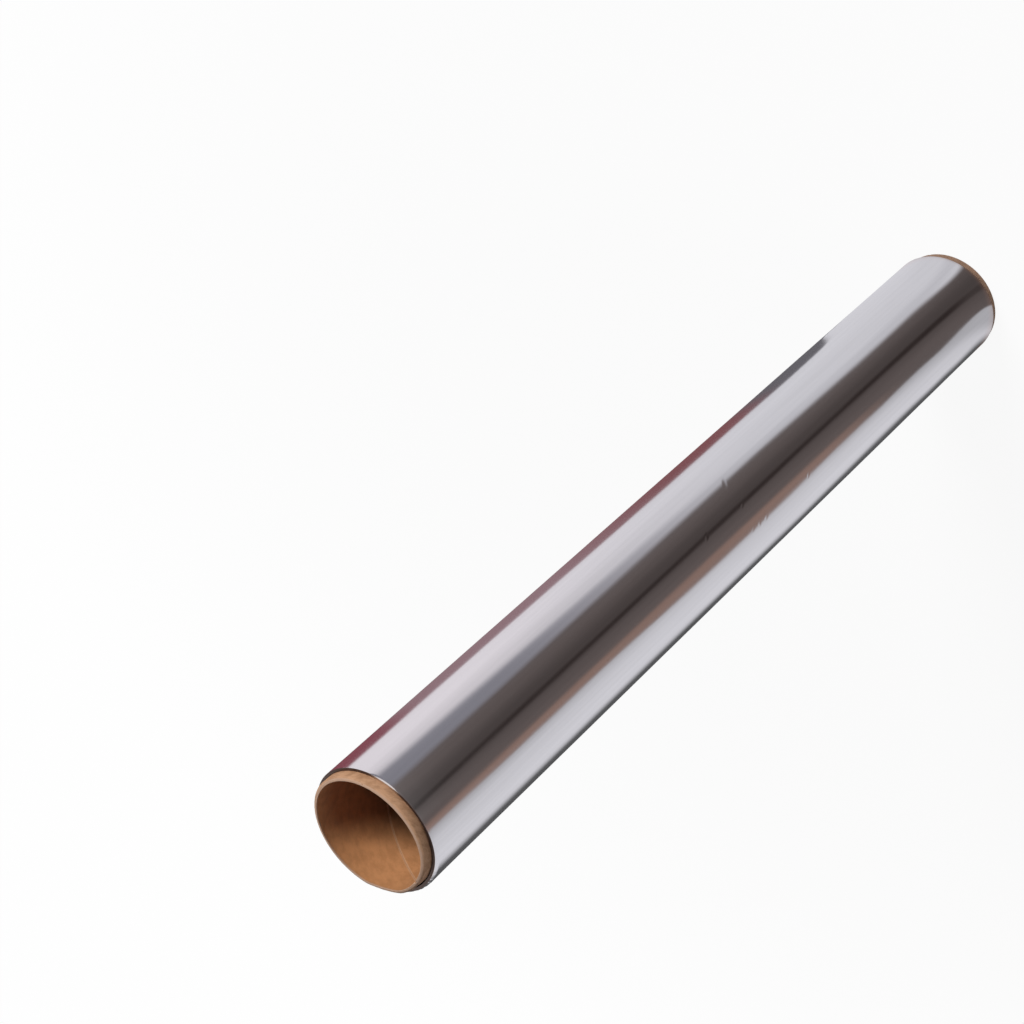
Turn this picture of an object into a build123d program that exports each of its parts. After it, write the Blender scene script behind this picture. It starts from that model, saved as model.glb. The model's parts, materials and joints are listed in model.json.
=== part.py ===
"""Household aluminium foil roll: a web of foil wound on a spiral-wound cardboard core.

The roll stands on the far end of its core. The origin is the centre of that end, +Z runs up
the axis to the near end, and +Y points away from the viewer. All sizes are in millimetres.
"""
import math
import os

from build123d import *

# Foil: the web, and how it lies on the roll
foil_width = 300.0
foil_length = 5000.0
foil_gauge = 0.018
air_between_turns = 0.0012
free_edge_lift = 0.12
free_edge_angle = 48.0

# Core: paper strips wound on a mandrel and glued
core_bore_radius = 16.5
ply_thickness = 0.33
ply_count = 3
near_overhang = 2.8
far_overhang = 4.8
near_bevel_width = 0.7
near_bevel_height = 0.5

# Seams: the helical gap between one strip's edge and the next turn of the same strip
seam_lead = 72.0
seam_gap = 0.4
seam_run_out = 2.0
inner_seam_angle = 187.0
outer_seam_angle = 68.0

# Dent pressed into the near rim
dent_angle = 138.0
dent_width = 11.0
dent_depth = 0.4

# Derived sizes
core_outer_radius = core_bore_radius + ply_count * ply_thickness
core_length = far_overhang + foil_width + near_overhang
wound_area = foil_length * (foil_gauge + air_between_turns)
wound_radius = math.sqrt(core_outer_radius ** 2 + wound_area / math.pi)


def cut_tube():
    """The tube as the knife leaves it: square at the far end, bevelled outside at the near end."""
    wall = make_face(Polyline(
        (core_bore_radius, 0), (core_outer_radius, 0),
        (core_outer_radius, core_length - near_bevel_height),
        (core_outer_radius - near_bevel_width, core_length), (core_bore_radius, core_length),
        close=True,
    ))
    return revolve(Plane.XZ * wall, Axis.Z)


def seam_groove(seam_radius, into_wall, angle_at_near_rim):
    """The strip gap: a rectangle one ply deep, carried along a right-handed helix.

    seam_radius is the wall's face, and into_wall is +1 for the bore and -1 for the outside.
    The helix starts below the far rim, ends above the near rim and passes the near rim at the
    given angle.
    """
    rise = core_length + 2 * seam_run_out
    turns_to_near_rim = (core_length + seam_run_out) / seam_lead
    path = Helix(pitch=seam_lead, height=rise, radius=seam_radius, center=(0, 0, -seam_run_out))
    start = Plane(origin=path @ 0, x_dir=(1, 0, 0), z_dir=path % 0)
    clear_of_face = ply_thickness / 2
    middle = into_wall * (ply_thickness - clear_of_face) / 2
    profile = start * Pos(middle, 0) * Rectangle(ply_thickness + clear_of_face, seam_gap)
    groove = sweep(profile, path=path, is_frenet=True)
    return Rot(0, 0, angle_at_near_rim - 360 * turns_to_near_rim) * groove


def rim_dent():
    """The dent's bottom: the underside of a cylinder that lies radially across the near rim."""
    dent_radius = (dent_width ** 2 / 4 + dent_depth ** 2) / (2 * dent_depth)
    height = core_length - dent_depth + dent_radius
    across_rim = Pos(core_bore_radius, 0, height) * Rot(0, 90, 0)
    return Rot(0, 0, dent_angle) * across_rim * Cylinder(dent_radius, core_bore_radius)


def cardboard_core():
    """Spiral-wound core: a tube, its inner and outer seams, and the dented near rim."""
    inner_seam = seam_groove(core_bore_radius, 1, inner_seam_angle)
    outer_seam = seam_groove(core_outer_radius, -1, outer_seam_angle)
    return cut_tube() - inner_seam - outer_seam - rim_dent()


def wound_outline():
    """The winding's outer edge: one turn of a spiral, closed by the step at the free edge."""
    spiral_steps = 36
    points = []
    for step in range(spiral_steps + 1):
        share = step / spiral_steps
        radius = wound_radius + free_edge_lift * share
        turn = math.radians(free_edge_angle + 360 * share)
        points.append((radius * math.cos(turn), radius * math.sin(turn)))
    outline = Spline(*points) + Line(points[-1], points[0])
    return make_face(outline)


def foil_winding():
    """All turns of the foil as one solid, wound tight on the core's outer face."""
    section = Pos(0, 0, far_overhang) * (wound_outline() - Circle(core_outer_radius))
    return extrude(section, foil_width)


def main():
    os.makedirs("parts", exist_ok=True)
    print(f"core: bore {2 * core_bore_radius:.2f}, outside {2 * core_outer_radius:.2f}")
    print(f"core length {core_length:.2f}, wound diameter {2 * wound_radius:.2f}")
    export_step(cardboard_core(), "parts/cardboard_core.step")
    export_step(foil_winding(), "parts/foil_winding.step")


main()
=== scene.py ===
"""Aluminium foil roll: the looks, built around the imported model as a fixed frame.

The core is three paper strips wound as helices. The foil is one web wound on the core, and its
outer face is a spiral that ends in a step at the free edge. Both stand on the far end, +Z up the
axis. Lengths are in metres, and angles run anticlockwise from +X, seen from the near end.
"""
import json
import math

import bpy
import numpy as np
from bpy.props import FloatProperty, FloatVectorProperty, IntProperty, PointerProperty
from bpy.types import Operator, Panel, PropertyGroup
from mathutils import Matrix, Vector


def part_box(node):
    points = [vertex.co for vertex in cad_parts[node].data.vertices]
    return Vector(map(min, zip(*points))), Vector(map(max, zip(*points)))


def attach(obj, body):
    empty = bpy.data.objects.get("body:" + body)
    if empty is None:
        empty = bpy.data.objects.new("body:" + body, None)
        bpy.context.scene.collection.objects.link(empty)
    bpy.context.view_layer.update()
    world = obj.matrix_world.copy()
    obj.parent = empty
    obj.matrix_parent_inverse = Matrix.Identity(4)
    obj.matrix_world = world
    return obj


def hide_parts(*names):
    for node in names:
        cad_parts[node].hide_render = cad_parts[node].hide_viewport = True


bl_info = {
    "name": "Foil roll",
    "version": (1, 0, 0),
    "blender": (4, 5, 0),
    "location": "View3D > Sidebar > Foil roll",
    "description": "Aluminium foil wound on a spiral cardboard core, and the studio round it",
    "category": "Add Mesh",
}

MM = 0.001

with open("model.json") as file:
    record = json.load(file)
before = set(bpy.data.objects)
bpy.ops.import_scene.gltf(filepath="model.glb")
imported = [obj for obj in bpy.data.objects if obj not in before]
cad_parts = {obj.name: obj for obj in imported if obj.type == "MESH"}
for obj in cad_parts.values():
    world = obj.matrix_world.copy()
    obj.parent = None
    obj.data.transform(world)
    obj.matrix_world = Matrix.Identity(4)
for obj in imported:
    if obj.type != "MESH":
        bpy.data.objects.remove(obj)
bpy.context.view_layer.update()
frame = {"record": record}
core_low, core_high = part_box("cardboard_core")
foil_low, foil_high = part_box("foil_winding")
bore_mount = next(m for m in frame["record"]["mounts"] if m["name"] == "core_bore")
bore_radius = bore_mount["dims"]["r_mm"] * MM
core_radius = max(core_high.x, core_high.y, -core_low.x, -core_low.y)
core_length = core_high.z


def length(label, about, default, **options):
    """A length that the user can change, shown in the scene's unit."""
    return FloatProperty(
        name=label, description=about, default=default, unit="LENGTH", precision=5, **options
    )


def angle(label, about, degrees):
    """An angle that the user can change, given here in degrees."""
    return FloatProperty(
        name=label, description=about, default=math.radians(degrees), subtype="ANGLE"
    )


def colour(label, about, default):
    """A linear colour that the user can change."""
    return FloatVectorProperty(
        name=label, description=about, default=default, subtype="COLOR", size=3, min=0, max=1
    )


def number(label, about, default, **options):
    """A plain number that the user can change."""
    return FloatProperty(name=label, description=about, default=default, **options)


def count(label, about, default):
    """A whole number that the user can change."""
    return IntProperty(name=label, description=about, default=default, min=1)


class FOILROLL_PG_core(PropertyGroup):
    """Sizes and colours of the cardboard core."""

    ply_count: count("Plies", "Paper strips between the bore and the outside", 3)
    seam_lead: length("Seam lead", "Climb of a strip's edge in one turn", 72 * MM)
    seam_gap: length("Seam gap", "Gap that still shows between two turns of a strip", 0.06 * MM)
    seam_pulp: length("Seam pulp", "Width of the pale pulp along a strip's edges", 0.5 * MM)
    inner_seam: angle("Inner seam", "Where the bore's seam meets the near rim", 187)
    middle_seam: angle("Middle seam", "Where the hidden seam meets the near rim", 308)
    outer_seam: angle("Outer seam", "Where the outside's seam meets the near rim", 68)
    edge_rounding: length("Edge rounding", "Rounding of a strip's cut edges", 0.04 * MM)
    bevel_width: length("Bevel width", "Width of the bevel outside the near rim", 0.7 * MM)
    bevel_height: length("Bevel height", "Height of the bevel outside the near rim", 0.5 * MM)
    rim_reach: length("Rim reach", "How far down the wall the bevel and the dent are felt", 3 * MM)
    fuzz_height: length("Fuzz", "Height of the torn fibres on the cut rims", 0.06 * MM)
    burr: length("Burr", "How far the knife has turned the near rim into the bore", 0.10 * MM)
    dent_angle: angle("Dent", "Where the near rim is dented", 138)
    dent_width: length("Dent width", "Length of rim that the dent takes", 11 * MM)
    dent_depth: length("Dent depth", "How far the near rim is pushed in", 0.4 * MM)
    pinch_angle: angle("Pinch", "Where the near rim is pressed flat", 185)
    pinch_width: angle("Pinch width", "Half of the stretch of rim that is pressed flat", 26)
    pinch_depth: length("Pinch depth", "How far in the rim is pressed there", 0.40 * MM)
    pinch_reach: length("Pinch reach", "How far down the wall the pinch is felt", 6 * MM)
    lean: length("Lean", "How far each end has moved sideways in the foil", 0.28 * MM)
    lean_angle: angle("Lean angle", "The near end has moved this way, the far end against it", 10)
    lean_reach: length("Lean reach", "Stretch of each end that leans", 18 * MM)
    paper: colour("Paper", "Kraft paper", (0.52, 0.291, 0.166))
    dark_fibre: colour("Dark fibre", "Dark fibres and blotches in the paper", (0.34, 0.175, 0.09))
    pale_fibre: colour("Pale fibre", "Pale fibres in the paper", (0.64, 0.42, 0.27))
    lining: colour("Lining", "Paper inside the bore", (0.68, 0.309, 0.124))
    # Painted light and shade: the lining is palest on this side of the bore and darker across from
    # it.
    lit_side: angle("Lining side", "Side of the bore where the lining is palest", 60)
    painted_shade_change: number("Lining change", "How much darker the lining is across from there", 0.5)
    cut_paper: colour("Cut paper", "Paper where the knife has cut it", (0.56, 0.375, 0.270))
    pulp: colour("Pulp", "Torn paper along the seams", (0.70, 0.44, 0.28))
    # Painted shade: the paper is darkened towards this colour near the floor.
    painted_foot_shade: colour("Soiled", "Paper that has been stood on the floor", (0.19, 0.14, 0.12))
    steps_per_turn: count("Steps per turn", "Faces round the core", 120)


class FOILROLL_PG_foil(PropertyGroup):
    """Sizes and finish of the wound foil."""

    free_edge: angle("Free edge", "Where the outermost turn ends", 48)
    free_edge_lift: length("Free edge lift", "Step at the free edge", 0.12 * MM)
    free_edge_width: length("Free edge width", "Length of the web that the step takes", 0.04 * MM)
    edge_rounding: length("Edge rounding", "Rounding of the winding's corners", 0.05 * MM)
    looseness: length("Looseness", "Growth of the radius towards the near end", 0.40 * MM)
    bore_opening: length("Bore opening", "Gap round the core at each end", 0.30 * MM)
    opening_reach: length("Opening reach", "Stretch over which the gap closes", 18 * MM)
    far_slip: length("Far slip", "How far the turns have slipped out at the far end", 1.0 * MM)
    far_slant: length("Far slant", "How much more they have slipped at one side", 1.5 * MM)
    far_slant_angle: angle("Far slant angle", "The side where they have slipped most", -150)
    slip_reach: length("Slip reach", "Stretch of the far end that takes up the slip", 25 * MM)
    stagger: length("Stagger", "How unevenly the turns end", 0.05 * MM)
    lip_angle: angle("Lip angle", "Middle of the stretch of near edge that curls in", -68)
    lip_width: angle("Lip width", "Half of the stretch that curls in", 11.5)
    lip_height: length("Lip height", "How far from the edge the curl begins", 0.55 * MM)
    lip_depth: length("Lip depth", "How far the near edge curls in", 0.21 * MM)
    press_angle: angle("Press angle", "Where the near edge is pressed in", -168)
    press_width: angle("Press width", "Half of the stretch that is pressed in", 34)
    press_depth: length("Press depth", "How far the near edge is pressed in there", 0.52 * MM)
    press_reach: length("Press reach", "How far from the edge it is pressed in", 1.2 * MM)
    gauge_bands: length("Gauge bands", "Height of the rings that build up in winding", 0.012 * MM)
    tension_lines: length("Tension lines", "Height of the long lines along the roll", 0.0035 * MM)
    kink_depth: length("Kink depth", "Depth of the kinks in the outermost turn", 0.026 * MM)
    crumple_angle: angle("Crumple angle", "Middle of the crumpled stretch of near edge", 177)
    crumple_width: angle("Crumple width", "Half of the crumpled stretch", 16)
    crumple_height: length("Crumple height", "Height of the folds there", 0.204 * MM)
    crumple_reach: length("Crumple reach", "How far down the roll the folds die away", 2.2 * MM)
    metal: colour("Metal", "Bright side of the foil", (0.926, 0.919, 0.926))
    # Painted shade and painted reflection: the ends of the wound turns take this dark colour.
    turn_end_shade: colour("Edge", "Ends of the wound turns", (0.125, 0.098, 0.090))
    # Painted shade and painted reflection: the last stretch of the far end is darkened towards the
    # edge colour, and made rougher.
    far_dulling_and_shade: number("Far dulling", "How dull the last stretch of the far end is", 0.22)
    dull_reach: length("Dull reach", "Length of that stretch", 1.3 * MM)
    roughness: number("Roughness", "Blur of the reflections", 0.100, min=0, max=1)
    steps_round: count("Steps round", "Faces round the roll", 256)
    steps_along: count("Steps along", "Faces along the roll", 320)


class FOILROLL_PG_studio(PropertyGroup):
    """Camera, lamps, floor and the panels that the foil mirrors."""

    camera_place: FloatVectorProperty(
        name="Camera", description="Where the camera is", size=3, subtype="TRANSLATION",
        default=(0.0, -0.501622, 0.634430),
    )
    camera_aim: FloatVectorProperty(
        name="Aim", description="The point in the middle of the picture", size=3,
        subtype="TRANSLATION", default=(0.038799, -0.003024, 0.203915),
    )
    camera_roll: angle("Roll", "Turn of the picture about the line of sight", 129.935)
    lens: number("Lens", "Focal length in millimetres", 84.375)
    lamp_azimuth: angle("Lamp azimuth", "Direction of the key lamp round the roll", -30)
    lamp_height: angle("Lamp height", "Direction of the key lamp above the floor", 42)
    lamp_distance: length("Lamp distance", "From the roll to each lamp", 1.2)
    lamp_width: length("Lamp width", "Size of each lamp", 0.5)
    lamp_power: FloatProperty(
        name="Lamp power", description="Power of the key lamp", default=12.7, unit="POWER"
    )
    fill_azimuth: angle("Fill azimuth", "Direction of the fill lamp round the roll", -135)
    fill_height: angle("Fill height", "Direction of the fill lamp above the floor", 8)
    fill_power: FloatProperty(
        name="Fill power", description="Power of the fill lamp", default=2.5, unit="POWER"
    )
    ambient: number("Ambient", "Level of the light from all round", 0.03)
    floor_colour: colour("Floor", "Pale floor", (0.80, 0.80, 0.80))
    floor_white: number("Floor white", "Share of plain white in the floor by the roll", 0.93)
    far_white: number("Far white", "Share of plain white in the floor further out", 0.99)
    panel: colour("Panel", "White panels that the foil mirrors", (0.655, 0.650, 0.690))
    far_panel: colour("Far panel", "The left panel, away from the roll", (0.76, 0.72, 0.76))
    roof: colour("Roof", "The tent above the panels", (0.76, 0.70, 0.69))
    card: colour("Card", "Dark card in front of the roll", (0.110, 0.090, 0.087))
    slit: colour("Slit", "The dark slit in the card", (0.025, 0.018, 0.017))
    veil: colour("Veil", "Grey veil beside the dark card", (0.215, 0.211, 0.242))
    screen: colour("Screen", "Warm screen at the other side of the card", (0.245, 0.158, 0.132))
    near_flag: colour("Near flag", "The foot of the flag", (0.130, 0.125, 0.140))
    flag: colour("Flag", "Dull red flag far to the left", (0.210, 0.084, 0.092))
    pale_flag: colour("Pale flag", "The pale stretch of the flag", (0.280, 0.180, 0.200))
    far_flag: colour("Far flag", "The flag's upper end", (0.225, 0.070, 0.090))
    gap: colour("Gap", "The unlit gap behind the roll", (0.085, 0.085, 0.088))
    foot: colour("Foot", "Warm light close to the roll's foot", (0.6, 0.3, 0.2))


class Signal:
    """A node's output. Arithmetic on signals and numbers adds Math nodes."""

    def __init__(self, wiring, socket):
        self.wiring = wiring
        self.socket = socket

    def __add__(self, other):
        return self.wiring.math("ADD", self, other)

    def __radd__(self, other):
        return self.wiring.math("ADD", other, self)

    def __sub__(self, other):
        return self.wiring.math("SUBTRACT", self, other)

    def __rsub__(self, other):
        return self.wiring.math("SUBTRACT", other, self)

    def __mul__(self, other):
        return self.wiring.math("MULTIPLY", self, other)

    def __rmul__(self, other):
        return self.wiring.math("MULTIPLY", other, self)

    def __truediv__(self, other):
        return self.wiring.math("DIVIDE", self, other)

    def __pow__(self, other):
        return self.wiring.math("POWER", self, other)


class Wiring:
    """A node tree that is being built."""

    def __init__(self, tree):
        self.tree = tree
        self.tree.nodes.clear()

    def add(self, kind, settings=None, inputs=None):
        """Adds a node: first its settings, then its sockets. Returns its outputs."""
        node = self.tree.nodes.new(kind)
        for name, value in (settings or {}).items():
            setattr(node, name, value)
        for key, value in (inputs or {}).items():
            if isinstance(value, Signal):
                self.tree.links.new(value.socket, node.inputs[key])
            else:
                node.inputs[key].default_value = value
        return [Signal(self, socket) for socket in node.outputs]

    def math(self, operation, *values):
        """The result of a Math node on these values, in their order."""
        return self.add("ShaderNodeMath", {"operation": operation}, dict(enumerate(values)))[0]

    def rise(self, value, low, high):
        """Goes smoothly from 0, below low, to 1, above high."""
        settings = {"interpolation_type": "SMOOTHSTEP"}
        inputs = {"Value": value, "From Min": low, "From Max": high}
        return self.add("ShaderNodeMapRange", settings, inputs)[0]

    def fall(self, value, low, high):
        """Goes smoothly from 1, below low, to 0, above high."""
        return 1 - self.rise(value, low, high)

    def climbs(self, value, start, *stretches):
        """Begins at start, and rises by amount over each stretch of (low, high, amount)."""
        total = start
        for low, high, amount in stretches:
            total = total + amount * self.rise(value, low, high)
        return total

    def mix(self, share, first, second):
        """The first colour, changing to the second as share goes from 0 to 1."""
        pair = {0: share, 6: rgba(first), 7: rgba(second)}
        return self.add("ShaderNodeMix", {"data_type": "RGBA"}, pair)[2]

    def darker(self, share, shade):
        """The colour with a share of it taken away."""
        return self.mix(share, shade, (0, 0, 0))

    def noise(self, x, y, detail=2.0, roughness=0.5):
        """Noise from 0 to 1 over two coordinates, each in units of the pattern's size."""
        place = self.add("ShaderNodeCombineXYZ", None, {"X": x, "Y": y})[0]
        inputs = {"Vector": place, "Scale": 1.0, "Detail": detail, "Roughness": roughness}
        return self.add("ShaderNodeTexNoise", {"noise_dimensions": "2D"}, inputs)[0]

    def unrolled(self, layer):
        """The two coordinates, in millimetres, of a web or strip laid out flat."""
        place = self.add("ShaderNodeUVMap", {"uv_map": layer})[0]
        along, across, _ = self.add("ShaderNodeSeparateXYZ", None, {"Vector": place})
        return along, across

    def mark(self, name):
        """A value that the piece carries at each of its points."""
        return self.add("ShaderNodeAttribute", {"attribute_name": name})[2]

    def place(self):
        """The three coordinates of the point, in metres."""
        coordinates = self.add("ShaderNodeTexCoord")[3]
        return self.add("ShaderNodeSeparateXYZ", None, {"Vector": coordinates})

    def seen(self):
        """1 for rays from the camera, and for mirrored and refracted ones."""
        ray = {signal.socket.name: signal for signal in self.add("ShaderNodeLightPath")}
        mirrored = self.math("MAXIMUM", ray["Is Glossy Ray"], ray["Is Transmission Ray"])
        return self.math("MAXIMUM", ray["Is Camera Ray"], mirrored)


def rgba(value):
    """A signal as it is, or a colour of three numbers with its alpha."""
    return value if isinstance(value, Signal) else (*value, 1.0)


def new_material(name):
    """An empty node material, and the wiring of its tree."""
    material = bpy.data.materials.new(name)
    material.use_nodes = True
    return material, Wiring(material.node_tree)


def finish_material(wiring, base, roughness, height, metallic=0.0):
    """The shader at the end: bump comes from height, in metres."""
    normal = wiring.add("ShaderNodeBump", None, {"Height": height, "Distance": 1.0})[0]
    inputs = {"Base Color": base, "Roughness": roughness, "Normal": normal, "Metallic": metallic}
    surface = wiring.add("ShaderNodeBsdfPrincipled", None, inputs)[0]
    wiring.add("ShaderNodeOutputMaterial", None, {"Surface": surface})


def kraft_material(core):
    """Kraft paper: fibres along the strip, blotches, flecks, and paler where it is cut.

    Each pattern is given by its size along and across the strip, in millimetres, and a number
    added to a coordinate sets one pattern apart from the next. Painted light and shade make the
    lining palest on its lit side and darker round the bore by a raised cosine, and painted shade
    darkens it in two steps on its way down from the near rim. Painted shade also darkens the paper
    near the floor.
    """
    material, w = new_material("kraft_paper")
    along, across = w.unrolled("paper")
    fibres = w.noise(along / 5.0, across / 0.33, 3.0, 0.6)
    threads = w.noise(along / 9.0 + 40, across / 0.8, 2.0)
    blotches = w.noise(along / 3.4, across / 2.0 + 70, 4.0, 0.6)
    flecks = w.rise(w.noise(along / 1.3 + 11, across / 0.35, 2.0), 0.66, 0.74)
    base = w.mix(w.rise(blotches, 0.38, 0.66) * 0.72, core.paper, core.dark_fibre)
    base = w.mix(w.rise(fibres, 0.5, 0.8) * 0.35, base, core.pale_fibre)
    base = w.mix(w.rise(threads, 0.55, 0.8) * 0.25, base, core.dark_fibre)
    base = w.mix(flecks * 0.35, base, core.dark_fibre)
    worn_lining = [tone * 0.72 for tone in core.lining]
    lining = w.mix(w.rise(blotches, 0.3, 0.75) * 0.6, core.lining, worn_lining)
    x, y, z = w.place()
    # Painted light and shade: the lining darkens by a raised cosine away from its lit side.
    away = w.math("COSINE", w.math("ARCTAN2", y, x) - core.lit_side) * -0.5 + 0.5
    lining = w.darker(core.painted_shade_change * away, lining)
    # Painted shade: the lining darkens in two steps down from the near rim, into the bore.
    below_rim = core_length - z
    deep = w.climbs(below_rim, 0, (8 * MM, 17 * MM, 0.22), (15.5 * MM, 22.5 * MM, 0.38))
    lining = w.darker(deep, lining)
    base = w.mix(w.fall(w.mark("wall_depth"), 0.05, 0.4) * 0.85, base, lining)
    ragged = w.noise(along / 0.5, across / 0.5 + 5, 3.0, 0.7)
    cut = w.rise(w.mark("cut_and_shaded_edge"), 0.1, 0.9) * (0.6 + ragged * 0.5)
    base = w.mix(cut, base, core.cut_paper)
    torn = w.rise(w.mark("torn_edge"), 0.1, 0.9) * (0.25 + ragged * 0.5)
    base = w.mix(torn, base, core.pulp)
    # Painted shade: the paper darkens towards the floor.
    base = w.mix(w.fall(z, 1.5 * MM, 6 * MM) * 0.5, base, core.painted_foot_shade)
    height = (fibres * 0.008 + threads * 0.008 + blotches * 0.02 + ragged * 0.008 * cut) * MM
    finish_material(w, base, 0.72 + fibres * 0.2, height)
    return material


# Kinks in the outermost turn: place round the roll in degrees, height, slant from the roll's
# axis in degrees, reach, half width and strength. Lengths are in millimetres.
KINKS = (
    (-74.0, 151.0, -47, 3.0, 1.0, 2.2), (-97.5, 170.9, -40, 2.0, 0.8, 0.9),
    (-98.8, 152.3, -30, 1.3, 0.6, 0.6), (-122.0, 152.6, -20, 1.4, 0.8, 0.35),
    (-122.5, 149.2, -60, 1.7, 0.9, 0.45), (-123.0, 145.6, -35, 1.7, 0.8, 0.45),
    (-121.0, 121.2, -45, 1.4, 0.6, 0.7), (70.0, 96.0, 40, 5.0, 1.0, 1.5),
    (150.0, 210.0, -30, 4.0, 0.9, 1.3),
)


def kink(w, foil, along, across, place):
    """One hollow in the web: depth (1 - (u / reach)^2 - (v / width)^2)^2 inside its oval.

    u runs along the hollow and v across it. Outside the oval the depth is 0.
    """
    degrees, height, slant, reach, width, strength = place
    tilt = math.radians(slant)
    start = (math.radians(degrees) - foil.free_edge) % (2 * math.pi) * (foil_high.x / MM)
    x, y = along - start, across - height
    lengthwise = (y * math.cos(tilt) + x * math.sin(tilt)) / reach
    sideways = (x * math.cos(tilt) - y * math.sin(tilt)) / width
    inside = w.math("MAXIMUM", 1 - lengthwise * lengthwise - sideways * sideways, 0.0)
    return inside * inside * (-strength * foil.kink_depth)


def foil_material(foil):
    """Rolled foil: lines along the web, faint long streaks across it, kinks and worn patches.

    Each pattern is given by its size along and across the web, in millimetres, and its height in
    the bump is in millimetres too.
    """
    material, w = new_material("rolled_foil")
    along, across = w.unrolled("web")
    rolling_lines = w.noise(along / 40.0, across / 0.22, 3.0, 0.6)
    wide_lines = w.noise(along / 90.0, across / 2.2 + 30, 2.0)
    streaks = w.noise(along / 1.1, across / 60.0 + 12, 2.0)
    patches = w.noise(along / 14.0, across / 30.0 + 55, 3.0)
    shade = w.mix(patches * 0.35, foil.metal, [level * 0.96 for level in foil.metal])
    shade = w.darker(w.rise(streaks, 0.35, 0.65) * 0.025, shade)
    # Painted shade and painted reflection: the turns' ends and the last stretch of the far end are
    # darkened towards the edge colour.
    edge_shade = w.mark("cut_and_shaded_edge")
    shade = w.mix(edge_shade, shade, foil.turn_end_shade)
    roughness = foil.roughness + patches * 0.05 + rolling_lines * 0.04 + edge_shade * 0.3
    waves = w.noise(along / 5.0, across / 90.0 + 80, 2.0)
    ripples = w.noise(along / 2.4, across / 14.0 + 20, 2.0)
    lines = rolling_lines * 0.0012 + wide_lines * 0.003 + streaks * 0.0024
    height = (lines + waves * 0.016 + ripples * 0.006) * MM
    for place in KINKS:
        height = height + kink(w, foil, along, across, place)
    finish_material(w, shade, roughness, height, metallic=1.0)
    return material


def floor_material(studio):
    """Pale floor: it takes shadows, and runs out to plain white away from the roll."""
    material, w = new_material("pale_floor")
    x, y, _ = w.place()
    distance = (x * x + y * y) ** 0.5
    climb = (0.10, 0.60, studio.far_white - studio.floor_white)
    whiteness = w.climbs(distance, studio.floor_white, climb) * w.seen()
    floor = w.add("ShaderNodeBsdfDiffuse", None, {"Color": rgba(studio.floor_colour)})[0]
    white = w.add("ShaderNodeEmission", None, {"Strength": 1.0})[0]
    shader = w.add("ShaderNodeMixShader", None, {0: whiteness, 1: floor, 2: white})[0]
    w.add("ShaderNodeOutputMaterial", None, {"Surface": shader})
    return material


def tent_edges(w, distance):
    """Where the tent's fields end, in degrees from the camera's side.

    Each edge wanders as the distance from the roll, in metres, runs through its stretches.
    """
    return {
        "flag": w.climbs(distance, 145, (0.055, 0.072, -40), (0.09, 0.13, 5), (0.13, 0.34, 8)),
        "gap": w.climbs(distance, 80, (0.015, 0.036, 28), (0.034, 0.050, 8), (0.04, 0.14, 16)),
        "card": w.climbs(distance, 17.5, (0.022, 0.052, 7), (0.05, 0.16, 7.5)),
        "screen": w.climbs(
            distance, 38.5, (0.015, 0.052, 17), (0.055, 0.085, 3.5), (0.09, 0.17, 6.5),
            (0.20, 0.30, -7), (0.38, 0.44, -2.5),
        ),
    }


def white_panels(w, studio, direction, right, distance):
    """The right and the left panel, each shaded towards the dark card between them."""
    right_shade = w.climbs(right, 0.36, (55, 78, -0.26), (70, 110, -0.10))
    left_shade = w.climbs(distance, 0.06, (0.12, 0.32, 0.10)) * w.fall(direction, 60, 92)
    left_panel = w.mix(w.rise(distance, 0.10, 0.40), studio.panel, studio.far_panel)
    return w.mix(
        w.rise(direction, -10, 10), w.darker(right_shade, studio.panel),
        w.darker(left_shade, left_panel),
    )


def flag_colour(w, studio, direction, distance):
    """The flag: its colour changes outwards, and it fades into the gap behind the roll."""
    flag = w.mix(w.rise(distance, 0.095, 0.125), studio.near_flag, studio.flag)
    flag = w.mix(w.rise(distance, 0.15, 0.27), flag, studio.pale_flag)
    flag = w.mix(w.rise(distance, 0.385, 0.42), flag, studio.far_flag)
    return w.mix(w.rise(direction, 158, 178), flag, studio.gap)


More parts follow.
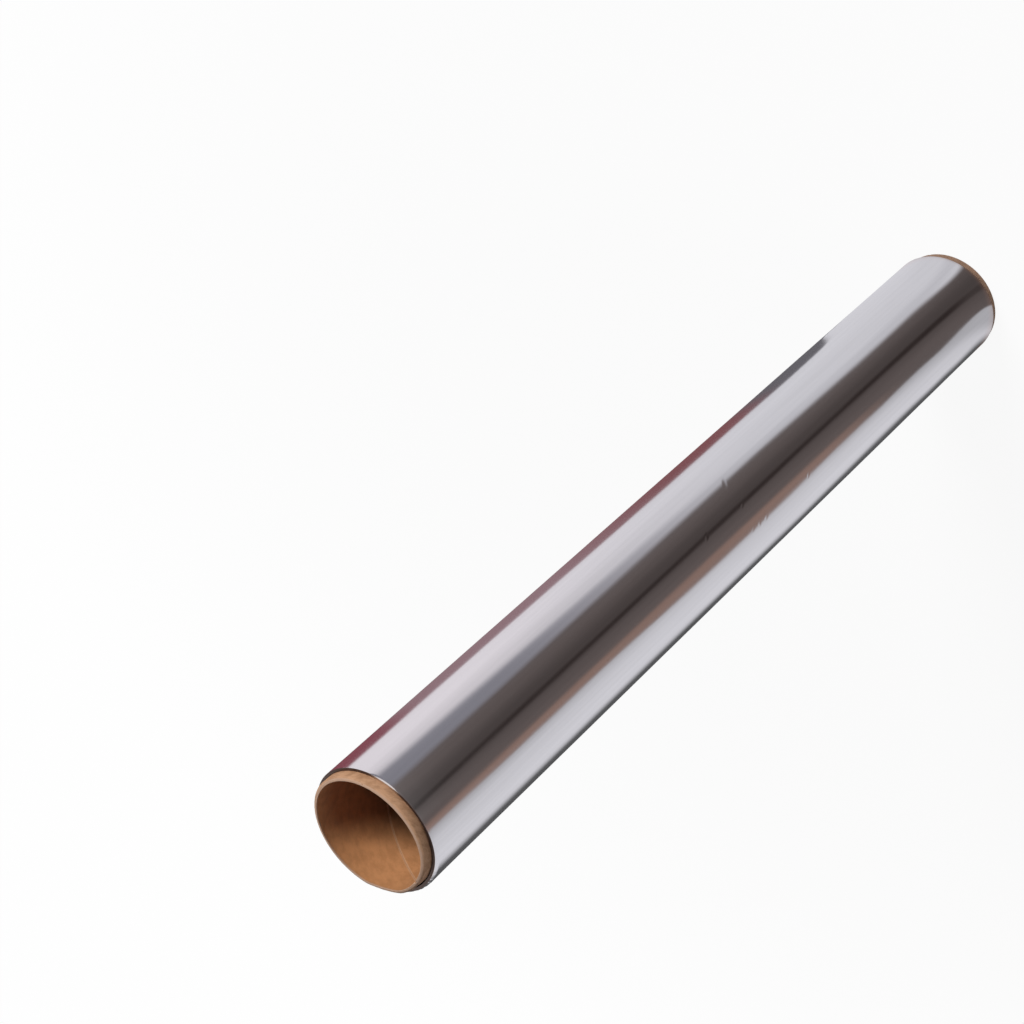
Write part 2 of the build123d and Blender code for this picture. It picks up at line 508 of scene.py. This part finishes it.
def tent_material(studio):
    """What the foil mirrors, as plain fields on one tent, each laid over those before it.

    A field is given by its direction from the roll, in degrees from the camera's side and
    positive towards +X, and by its distance from the roll in metres. From behind the roll, past
    +X and the camera's side to -X, they are the flag, the left panel, the veil, the dark card with
    its slit, the warm screen, the right panel and the unlit gap. The roof is over them all.
    The veil's edge runs outwards by its slope, in degrees per metre. The card is darker in its
    middle, and a little paler at its far rim.
    """
    material, w = new_material("tent_panels")
    x, y, z = w.place()
    distance = (x * x + y * y) ** 0.5
    direction = w.math("ARCTAN2", x, y * -1) * (180 / math.pi)
    right = -1 * direction
    edges = tent_edges(w, distance)
    level = white_panels(w, studio, direction, right, distance)
    flag = flag_colour(w, studio, direction, distance)
    level = w.mix(w.rise(direction - edges["flag"], -2, 3), level, flag)
    level = w.mix(w.rise(right - edges["gap"], -14, 10), level, studio.gap)
    veil_slope = 57
    veil = w.rise(direction, 20, 30) * w.fall(direction - veil_slope * distance, 30, 44)
    veil = veil * w.climbs(distance, 0.2, (0.10, 0.36, 0.8))
    level = w.mix(veil, level, studio.veil)
    before_screen_edge = w.fall(right - edges["screen"], -1.5, 1.5)
    card = before_screen_edge * w.fall(direction - edges["card"], -4, 5)
    middle_card = [tone * 0.55 for tone in studio.card]
    outer_card = w.rise(direction, -8, 24) + w.rise(right, 0, 42)
    level = w.mix(card, level, w.mix(outer_card, middle_card, studio.card))
    screen = w.rise(right, 43, 49) * before_screen_edge * w.climbs(right, 1, (52, 62, -0.25))
    level = w.mix(screen * w.rise(distance, 0.065, 0.12), level, studio.screen)
    slit = w.rise(direction, -20.45, -15.95) * w.fall(direction, -13.05, -8.55)
    level = w.mix(slit * w.climbs(distance, 0.5, (0.024, 0.040, 0.5)), level, studio.slit)
    glow = card * w.rise(distance, 0.438, 0.464) * w.rise(direction, -42, -28)
    level = w.mix(0.04 * glow, level, (1, 1, 1))
    level = w.mix(w.fall(distance, 0.0195, 0.0220) * 0.10, level, studio.foot)
    level = w.mix(w.rise(z, 0.32, 0.42), level, studio.roof)
    light = w.add("ShaderNodeEmission", None, {"Color": level, "Strength": 1.0})[0]
    w.add("ShaderNodeOutputMaterial", None, {"Surface": light})
    return material


class Shell:
    """Points on a grid of rows and columns, and the flat layout of each grid corner.

    A wrapped direction joins its last line of points to its first. A capped shell has its
    first and last rows closed by one face each. Marks are named values, one for each point.
    """

    def __init__(self, points, layout, wrap_rows, wrap_columns, capped=False, marks=None):
        self.points = points
        self.layout = layout
        self.wrap_rows = wrap_rows
        self.wrap_columns = wrap_columns
        self.capped = capped
        self.marks = marks or {}

    def faces(self):
        """The quads as point numbers, and the same quads as layout numbers."""
        rows, columns = self.points.shape[:2]
        i, j = np.meshgrid(
            np.arange(rows - 1 + self.wrap_rows), np.arange(columns - 1 + self.wrap_columns),
            indexing="ij",
        )
        i, j = i.ravel(), j.ravel()
        corners = ((i, j), (i, j + 1), (i + 1, j + 1), (i + 1, j))
        quads = np.stack([(a % rows) * columns + b % columns for a, b in corners], 1)
        spread = columns + self.wrap_columns
        places = np.stack([a * spread + b for a, b in corners], 1)
        return quads, places

    def caps(self):
        """The faces that close the first and the last row."""
        rows, columns = self.points.shape[:2]
        ring = np.arange(columns)
        return [ring[::-1], (rows - 1) * columns + ring] if self.capped else []


def add_piece(name, layer, shells, material):
    """One mesh object of several shells, with their flat layout as a UV map."""
    vertices, faces, layout, first = [], [], [], 0
    for shell in shells:
        points = shell.points.reshape(-1, 3)
        flat = shell.layout.reshape(-1, 2)
        spread = shell.points.shape[1] + shell.wrap_columns
        quads, places = shell.faces()
        faces.extend((quads + first).tolist())
        layout.append(flat[places].reshape(-1, 2))
        for cap in shell.caps():
            faces.append((cap + first).tolist())
            row, column = np.divmod(cap, shell.points.shape[1])
            layout.append(flat[row * spread + column])
        vertices.append(points)
        first += len(points)
    mesh = bpy.data.meshes.new(name)
    mesh.from_pydata(np.concatenate(vertices).tolist(), [], faces)
    uv = mesh.uv_layers.new(name=layer)
    uv.data.foreach_set("uv", np.concatenate(layout).astype(np.float32).ravel())
    for mark in shells[0].marks:
        values = np.concatenate([shell.marks[mark].ravel() for shell in shells])
        mesh.attributes.new(mark, "FLOAT", "POINT").data.foreach_set("value", values)
    mesh.polygons.foreach_set("use_smooth", np.ones(len(mesh.polygons), bool))
    mesh.materials.append(material)
    mesh.update()
    piece = bpy.data.objects.new(name, mesh)
    bpy.context.scene.collection.objects.link(piece)
    return piece


def smooth_step(value, low, high):
    """0 below low, 1 above high, and a smooth climb between."""
    share = np.clip((value - low) / (high - low), 0, 1)
    return share * share * (3 - 2 * share)


def end_share(height, reach, far_sign):
    """1 at the core's near end and far_sign at its far end, dying away over the reach."""
    near = smooth_step(height, core_length - reach, core_length)
    return near + far_sign * (1 - smooth_step(height, 0, reach))


def angle_from(turn, centre):
    """The angle from centre to turn, between minus and plus half a turn."""
    return (turn - centre + math.pi) % (2 * math.pi) - math.pi


def bump_round(turn, centre, half_width, power=2):
    """1 at the centre, and dying away round the axis: exp(-|angle / half width| ^ power)."""
    return np.exp(-abs(angle_from(turn, centre) / half_width) ** power)


def ripple(turn, waves, seed):
    """A sum of cosines round the axis, one for each number of waves, between about -1 and 1."""
    total = np.zeros_like(turn)
    for index, wave in enumerate(waves):
        total += np.cos(wave * turn + seed * (index + 1.7) + wave)
    return total / len(waves)


def rounded_loop(inner, edge, outer, corner_steps):
    """A rounded rectangle, once round: up the inner face, out, down the outer face, and back.

    It is given as shares of the straight stretch inward to outward and low to high, and as the
    corner's own unit circle. The shares of each side's points run from 0 to 1.
    """
    bend = np.linspace(0, math.pi / 2, corner_steps + 1)[1:-1]
    sides = (
        (0 * inner, inner, -1, 0), (edge, 0 * edge + 1, 0, 1),
        (0 * outer + 1, outer[::-1], 1, 0), (edge[::-1], 0 * edge, 0, -1),
    )
    parts = []
    for side, (side_out, side_up, from_out, from_up) in enumerate(sides):
        to_out, to_up = sides[(side + 1) % 4][2:]
        corner = np.full(len(bend), 1.0)
        straight = np.full(len(side_out), 1.0)
        parts.append([
            np.concatenate([side_out, corner * side_out[-1]]),
            np.concatenate([side_up, corner * side_up[-1]]),
            np.concatenate([straight * from_out, from_out * np.cos(bend) + to_out * np.sin(bend)]),
            np.concatenate([straight * from_up, from_up * np.cos(bend) + to_up * np.sin(bend)]),
        ])
    return [np.concatenate(column) for column in zip(*parts)]


def rim_drop(core, turn, radius):
    """How far the near rim lies below its crest: the knife's bevel, and the dent's arc.

    The bevel falls away outwards, slowly at first. The dent is an arc of a circle round the rim.
    """
    outwards = np.clip(1 - (core_radius - radius) / core.bevel_width, 0, 1)
    arc_radius = (core.dent_width ** 2 / 4 + core.dent_depth ** 2) / (2 * core.dent_depth)
    across = core_radius * angle_from(turn, core.dent_angle)
    dent = np.clip(core.dent_depth - across ** 2 / (2 * arc_radius), 0, None)
    return core.bevel_height * outwards ** 1.8 + dent


def cut_shares(height):
    """1 at the near rim and 1 at the far rim, where the knife has cut, and 0 away from each."""
    near_cut = smooth_step(height, core_length - 0.5 * MM, core_length - 0.1 * MM)
    return near_cut, 1 - smooth_step(height, 0.03 * MM, 0.3 * MM)


def strip_marks(core, radius, height, to_edge):
    """How cut and how torn a strip is, and how deep in the wall: 0 in the bore, 1 outside.

    The outer edge of the near rim is worn, so that less of the cut shows there. to_edge is the
    distance to the strip's nearer long edge.
    """
    near_cut, far_cut = cut_shares(height)
    worn = 0.75 * smooth_step(radius, core_radius - 0.65 * MM, core_radius - 0.1 * MM)
    return {
        "cut_and_shaded_edge": np.maximum(near_cut * (1 - worn), far_cut),
        "torn_edge": np.clip(1 - to_edge / core.seam_pulp, 0, 1),
        "wall_depth": (radius - bore_radius) / (core_radius - bore_radius),
    }


def bent_wall(core, turn, radius, height, fuzz):
    """The wall's points after handling, as (x, y, z).

    Near the top the bevel and the dent draw the heights down, the burr turns the bore's edge in
    and the pinch flattens the rim. Torn fibres stand up from both rims, and each end leans.
    """
    near_cut, far_cut = cut_shares(height)
    near = smooth_step(height, core_length - core.rim_reach, core_length)
    middle = (bore_radius + core_radius) / 2
    turned_in = core.burr * near_cut * smooth_step(middle - radius, 0, middle - bore_radius)
    pinched = core.pinch_depth * bump_round(turn, core.pinch_angle, core.pinch_width)
    pinched = pinched * smooth_step(height, core_length - core.pinch_reach, core_length)
    lean = core.lean * end_share(height, core.lean_reach, -1)
    height = height - near * rim_drop(core, turn, radius) + 0.5 * far_cut * fuzz
    height = height + 0.5 * turned_in - near_cut * (fuzz - core.fuzz_height)
    radius = radius - turned_in - pinched
    x = radius * np.cos(turn) + lean * math.cos(core.lean_angle)
    y = radius * np.sin(turn) + lean * math.sin(core.lean_angle)
    return x, y, height


def ply_strip(core, ply, rim_angle):
    """One paper strip of the core, wound edge to edge as a helix: a closed shell.

    Along the strip the angle runs on in even steps. The seam climbs one lead in each turn and
    meets the near rim at rim_angle. At each angle the strip fills the wall from one turn of the
    seam to the next, less half a gap at each edge, and the knife has cut it at both ends, where
    it runs out to a sliver. Its section is a rounded rectangle, one ply thick. Laid flat, the
    plies lie well apart, so that each shows its own part of the paper's pattern.
    """
    face_points, edge_points, corner_steps = 17, 4, 2
    sliver, flat_spacing = 0.3 * MM, 200
    thickness = (core_radius - bore_radius) / core.ply_count
    inner = bore_radius + ply * thickness
    middle = inner + thickness / 2
    climb = math.atan2(core.seam_lead, 2 * math.pi * middle)
    gap = core.seam_gap / math.cos(climb)
    per_turn = 2 * math.pi / core.seam_lead
    start = rim_angle + per_turn * (sliver + gap / 2 - core_length - core.seam_lead)
    end = rim_angle - per_turn * (sliver + gap / 2)
    turn = np.linspace(start, end, round((end - start) / (2 * math.pi) * core.steps_per_turn))
    seam = (core_length + (turn - rim_angle) / per_turn)[:, None]
    low_edge, high_edge = seam + gap / 2, seam + core.seam_lead - gap / 2
    low, high = np.clip(low_edge, 0, core_length), np.clip(high_edge, 0, core_length)
    rounding = np.minimum(core.edge_rounding, np.minimum(high - low, thickness) / 2.01)
    shares = np.linspace(-1, 1, face_points)
    face = 0.5 + 0.5 * np.sign(shares) * (1 - (1 - abs(shares)) ** 3)
    edge = np.linspace(0, 1, edge_points)
    out, up, turn_out, turn_up = rounded_loop(face, edge, face, corner_steps)
    radius = inner + rounding * (1 + turn_out) + (thickness - 2 * rounding) * out
    height = low + rounding * (1 + turn_up) + (high - low - 2 * rounding) * up
    turn = turn[:, None] + 0 * height
    to_edge = np.minimum(height - low_edge, high_edge - height)
    marks = strip_marks(core, radius, height, to_edge)
    fibres = ripple(turn + 9 * out, (41, 67, 97, 139, 173), ply + 2.0)
    x, y, height = bent_wall(core, turn, radius, height, core.fuzz_height * (0.5 + 0.5 * fibres))
    flat_along = (middle * turn * math.cos(climb) + height * math.sin(climb)) / MM
    flat_across = (height * math.cos(climb) - middle * turn * math.sin(climb)) / MM
    layout = np.stack([flat_along, flat_across + flat_spacing * ply], 2)
    layout = np.concatenate([layout, layout[:, :1]], 1)
    return Shell(np.stack([x, y, height], 2), layout, False, True, capped=True, marks=marks)


def lip_share(foil, turn):
    """1 where the near edge of the foil curls in, and 0 elsewhere round the roll."""
    return bump_round(turn, foil.lip_angle, foil.lip_width, 4)


def foil_relief(foil, turn, height):
    """How far the outer face stands off its spiral: rings, long lines, and the near edge.

    Rings are cosines of the height alone. Long lines are cosines of the angle, and drift slowly
    with the height. One stretch of the near edge curls in, and another has folds that die away
    from the edge.
    """
    rings = ((0.083, 0.4), (0.047, 2.1), (0.029, 4.4), (0.019, 1.3))
    bands = sum(np.cos(2 * math.pi * height / wave + phase) * wave for wave, phase in rings)
    bands = bands / sum(wave for wave, _ in rings)
    drift = 0.042 * np.cos(2 * math.pi * height / 0.21 + 1)
    drift = drift + 0.024 * np.cos(2 * math.pi * height / 0.075)
    lines = ripple(turn + drift, (5, 9, 14, 23), 0.6) * 2.2
    from_top = foil_high.z - height
    curl = np.clip(1 - from_top / foil.lip_height, 0, 1) ** 2 * lip_share(foil, turn)
    folds = ripple(turn, (61, 83, 113), 1.0) * np.exp(-from_top / foil.crumple_reach)
    folds = folds * bump_round(turn, foil.crumple_angle, foil.crumple_width)
    relief = foil.gauge_bands * bands + foil.tension_lines * lines
    return relief - foil.lip_depth * curl + foil.crumple_height * folds


def far_slip(foil, turn):
    """How far the turns have slipped out at the far end.

    The slant is the third power of a raised cosine: full at its angle, and 0 across from it.
    """
    return foil.far_slip + foil.far_slant * (0.5 + 0.5 * np.cos(turn - foil.far_slant_angle)) ** 3


def foil_grid(foil, width, radius):
    """The share of a turn at each line of points, and the rounded loop of the section.

    The share runs from 0 to 1, less the free edge's step. The outer face and the bore face have
    finer rows near their tops.
    """
    fine = 3 * MM / width
    fine_steps, bore_steps, end_steps, corner_steps = 14, 25, 9, 3
    step_share = foil.free_edge_width / (2 * math.pi * radius)
    share = np.linspace(0, 1 - step_share, foil.steps_round)[:, None]
    near_rows = fine * np.linspace(0, 1, fine_steps) ** 1.7
    rows = np.concatenate([near_rows, np.linspace(fine, 1, foil.steps_along - fine_steps)[1:]])
    bore_rows = 1 - np.linspace(1, 0, bore_steps) ** 2
    end_rows = np.linspace(0, 1, end_steps)
    return share, rounded_loop(bore_rows, end_rows, 1 - rows[::-1], corner_steps)


def wound_foil(foil):
    """The winding as one closed shell.

    Round the roll, the angle runs one turn from the free edge. Across it each row goes up the
    bore face, out over the near end, down the outer face and back over the far end. The outer
    face is a spiral: its radius grows by the lift in one turn, and falls back in the step. It
    also grows in proportion to the height. At both ends the bore face opens round the core. At
    the far end the turns have slipped out, most at one side, and at the near end they are
    pressed in along one stretch.
    """
    # The box's width holds the lift that the spiral has gained at +X and at -X.
    free_share = foil.free_edge / (2 * math.pi)
    lift_at_sides = foil.free_edge_lift * ((1 - free_share) + (0.5 - free_share))
    wound_radius = (foil_high.x - foil_low.x - lift_at_sides) / 2
    width = foil_high.z - foil_low.z
    share, (out, up, turn_out, turn_up) = foil_grid(foil, width, wound_radius)
    rounding = foil.edge_rounding
    height = foil_low.z + rounding * (1 + turn_up) + (width - 2 * rounding) * up + 0 * share
    turn = foil.free_edge + 2 * math.pi * share + 0 * out
    outer = wound_radius + foil.free_edge_lift * share
    outer = outer + foil.looseness * ((height - foil_low.z) / width - 0.5)
    inner = core_radius + foil.bore_opening * end_share(height, foil.opening_reach, 1)
    radius = inner + rounding * (1 + turn_out) + (outer - inner - 2 * rounding) * out
    stagger = foil.stagger * ripple(turn + 23 * (out + share * 0.05), (1, 2, 5), 3.0)
    inside = np.sin(math.pi * np.clip(out, 0, 1)) ** 0.5
    height = height + stagger * inside * turn_up
    slip = far_slip(foil, turn)
    height = height - slip * (1 - smooth_step(height, foil_low.z, foil_low.z + foil.slip_reach))
    pressed = np.clip(1 - (foil_high.z - height) / foil.press_reach, 0, 1) ** 2
    pressed = pressed * bump_round(turn, foil.press_angle, foil.press_width)
    radius = radius - foil.press_depth * pressed
    radius = radius + foil_relief(foil, turn, height) * np.clip(out, 0, 1) ** 4
    points = np.stack([radius * np.cos(turn), radius * np.sin(turn), height], 2)
    flat_round = 2 * math.pi * wound_radius / MM
    layout = np.stack([flat_round * share + out * 0.6, height / MM], 2)
    layout = np.concatenate([layout, layout[:, :1]], 1)
    last = layout[:1] + np.array([flat_round, 0])
    # Painted shade on the ends of the turns, less where the near edge curls in.
    ends = (abs(turn_up) > 0.4) * np.where(up > 0.5, 1 - 0.85 * lip_share(foil, turn), 1)
    # Painted shade and painted reflection on the last stretch of the far end, which is also
    # rougher.
    far_edge = foil_low.z - slip
    dulled_and_shaded = foil.far_dulling_and_shade * (1 - smooth_step(height, far_edge, far_edge + foil.dull_reach))
    marks = {"cut_and_shaded_edge": np.maximum(ends, dulled_and_shaded)}
    return Shell(points, np.concatenate([layout, last]), True, True, marks=marks)


def turned_surface(name, path, material):
    """A path of (radius, height) points turned once round the axis."""
    steps = 96
    turn = np.linspace(0, 2 * math.pi, steps, endpoint=False)[:, None]
    points = np.stack(
        [path[:, 0] * np.cos(turn), path[:, 0] * np.sin(turn), path[:, 1] + 0 * turn], 2)
    layout = np.zeros((steps + 1, len(path), 2))
    return add_piece(name, "flat", [Shell(points, layout, True, False)], material)


def add_floor(studio):
    """A wide round floor that the roll stands on."""
    rings = np.array([0.0005, 0.2, 1.0, 6.0])
    path = np.stack([rings, 0 * rings], 1)
    floor = turned_surface("floor", path, floor_material(studio))


def add_tent(studio):
    """The panels that the foil mirrors: a disc round the roll, a wall and a domed roof.

    Only mirrored rays meet them, so they neither hide the floor nor shade the roll.
    """
    wall_radius, wall_height, roof_height, corner = 1.0, 0.9, 0.5, 0.12
    lift = 0.3 * MM
    bend = np.linspace(0, math.pi / 2, 7)
    corner_path = np.stack(
        [wall_radius - corner + corner * np.sin(bend), corner - corner * np.cos(bend)], 1)
    roof_path = np.stack(
        [wall_radius * np.cos(bend), wall_height + roof_height * np.sin(bend)], 1)
    roof_path[-1, 0] = 0.5 * MM
    disc_path = [[core_radius + 0.6 * MM, lift], [0.1, lift], [0.4, lift]]
    path = np.concatenate([disc_path, corner_path + [0, lift], roof_path])
    tent = turned_surface("light_tent", path, tent_material(studio))
    for kind in ("camera", "diffuse", "transmission", "volume_scatter", "shadow"):
        setattr(tent, "visible_" + kind, False)


def add_lamp(studio, name, azimuth, height, power):
    """A wide soft lamp that points at the middle of the roll. The foil doesn't mirror it."""
    lamp = bpy.data.lights.new(name, "AREA")
    lamp.shape = "DISK"
    lamp.size = studio.lamp_width
    lamp.energy = power
    holder = bpy.data.objects.new(name, lamp)
    level = math.cos(height)
    away = Vector((math.cos(azimuth) * level, math.sin(azimuth) * level, math.sin(height)))
    holder.location = Vector((0, 0, core_length / 2)) + away * studio.lamp_distance
    holder.rotation_euler = (-away).to_track_quat("-Z", "Y").to_euler()
    holder.visible_glossy = False
    bpy.context.scene.collection.objects.link(holder)


def add_world(studio):
    """Even light from all round, and plain white where rays see past the floor."""
    world = bpy.data.worlds.new("studio_air")
    world.use_nodes = True
    bpy.context.scene.world = world
    w = Wiring(world.node_tree)
    fill = w.add("ShaderNodeBackground", None, {"Strength": studio.ambient})[0]
    white = w.add("ShaderNodeBackground", None, {"Color": (1, 1, 1, 1), "Strength": 1.0})[0]
    shader = w.add("ShaderNodeMixShader", None, {0: w.seen(), 1: fill, 2: white})[0]
    w.add("ShaderNodeOutputWorld", None, {"Surface": shader})


def add_camera(studio):
    """The camera: it looks at its aim, and its picture is turned about the line of sight."""
    data = bpy.data.cameras.new("camera")
    data.sensor_width = 36.0
    data.lens = studio.lens
    camera = bpy.data.objects.new("camera", data)
    place = Vector(studio.camera_place)
    forward = (Vector(studio.camera_aim) - place).normalized()
    level = forward.cross(Vector((0, 0, 1))).normalized()
    upright = level.cross(forward)
    roll = studio.camera_roll
    up = upright * math.cos(roll) + level * math.sin(roll)
    right = forward.cross(up)
    turn = Matrix((right, up, -forward)).transposed()
    camera.matrix_world = Matrix.Translation(place) @ turn.to_4x4()
    bpy.context.scene.collection.objects.link(camera)
    bpy.context.scene.camera = camera


class FOILROLL_OT_add_core(Operator):
    """Adds the spiral-wound cardboard core."""

    bl_idname = "foil_roll.add_core"
    bl_label = "Add cardboard core"

    def execute(self, context):
        core = context.scene.foil_roll_core
        seams = (core.inner_seam, core.middle_seam, core.outer_seam)
        strips = [
            ply_strip(core, ply, seams[min(ply, len(seams) - 1)]) for ply in range(core.ply_count)
        ]
        piece = add_piece("spiral_core", "paper", strips, kraft_material(core))
        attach(piece, "root")
        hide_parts("cardboard_core")
        return {"FINISHED"}


class FOILROLL_OT_add_foil(Operator):
    """Adds the foil as it is wound on the core."""

    bl_idname = "foil_roll.add_foil"
    bl_label = "Add wound foil"

    def execute(self, context):
        foil = context.scene.foil_roll_foil
        piece = add_piece("wound_foil", "web", [wound_foil(foil)], foil_material(foil))
        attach(piece, "root")
        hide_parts("foil_winding")
        return {"FINISHED"}


class FOILROLL_OT_add_studio(Operator):
    """Adds the floor, the lamps, the panels and the camera."""

    bl_idname = "foil_roll.add_studio"
    bl_label = "Add studio"

    def execute(self, context):
        studio = context.scene.foil_roll_studio
        add_floor(studio)
        add_tent(studio)
        add_lamp(studio, "key_lamp", studio.lamp_azimuth, studio.lamp_height, studio.lamp_power)
        add_lamp(studio, "fill_lamp", studio.fill_azimuth, studio.fill_height, studio.fill_power)
        add_world(studio)
        add_camera(studio)
        context.scene.view_settings.view_transform = "Standard"
        return {"FINISHED"}


class FOILROLL_PT_parts(Panel):
    """Lists the pieces and the studio."""

    bl_idname = "FOILROLL_PT_parts"
    bl_label = "Foil roll"
    bl_space_type = "VIEW_3D"
    bl_region_type = "UI"
    bl_category = "Foil roll"

    def draw(self, context):
        for operator in OPERATORS:
            self.layout.operator(operator.bl_idname)


SETTINGS = {
    "foil_roll_core": FOILROLL_PG_core,
    "foil_roll_foil": FOILROLL_PG_foil,
    "foil_roll_studio": FOILROLL_PG_studio,
}
OPERATORS = (FOILROLL_OT_add_core, FOILROLL_OT_add_foil, FOILROLL_OT_add_studio)
CLASSES = (*SETTINGS.values(), *OPERATORS, FOILROLL_PT_parts)


def register():
    """Makes the classes known to Blender, and gives each scene its settings."""
    for cls in CLASSES:
        bpy.utils.register_class(cls)
    for name, group in SETTINGS.items():
        setattr(bpy.types.Scene, name, PointerProperty(type=group))


def unregister():
    """Takes back what register has done, in the opposite order."""
    for name in SETTINGS:
        delattr(bpy.types.Scene, name)
    for cls in reversed(CLASSES):
        bpy.utils.unregister_class(cls)


def main():
    """Builds the roll and its studio."""
    register()
    bpy.ops.foil_roll.add_core()
    bpy.ops.foil_roll.add_foil()
    bpy.ops.foil_roll.add_studio()


if __name__ == "__main__":
    main()
